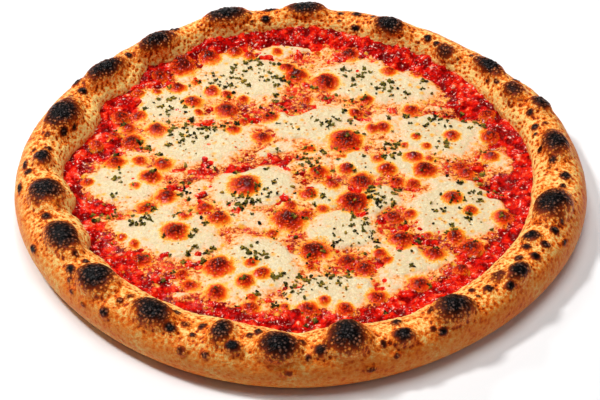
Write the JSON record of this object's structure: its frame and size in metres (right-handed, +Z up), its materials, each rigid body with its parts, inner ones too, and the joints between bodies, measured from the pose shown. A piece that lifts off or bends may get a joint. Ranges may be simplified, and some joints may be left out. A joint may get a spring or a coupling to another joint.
{
  "type": "margherita pizza",
  "caption": "Whole round baked pizza with a puffed, charred rim, tomato sauce, melted mozzarella in browned pools and dried herbs; rests flat on its underside.",
  "frame": {"origin": "middle of the flat underside of the base, on the surface the pizza rests on", "axes": "+Z up through the toppings; -Y towards the side nearest the viewer; +X to the viewer's right"},
  "size_m": [0.3232, 0.3232, 0.0311],
  "materials": {
    "crust": "matte, golden brown with charred blisters",
    "sauce": "wet, glossy, pulpy",
    "cheese": "satin, oily, with browned bubbles"
  },
  "bodies": {
    "root": {"dough": "crust", "tomato_sauce": "sauce", "mozzarella_01": "cheese", "mozzarella_02": "cheese", "mozzarella_03": "cheese", "mozzarella_04": "cheese", "mozzarella_05": "cheese", "mozzarella_06": "cheese", "mozzarella_07": "cheese", "mozzarella_08": "cheese", "mozzarella_09": "cheese", "mozzarella_10": "cheese", "mozzarella_11": "cheese", "mozzarella_12": "cheese", "mozzarella_13": "cheese", "mozzarella_14": "cheese", "mozzarella_15": "cheese", "mozzarella_16": "cheese", "mozzarella_17": "cheese", "mozzarella_18": "cheese", "mozzarella_19": "cheese"}
  },
  "joints": []
}
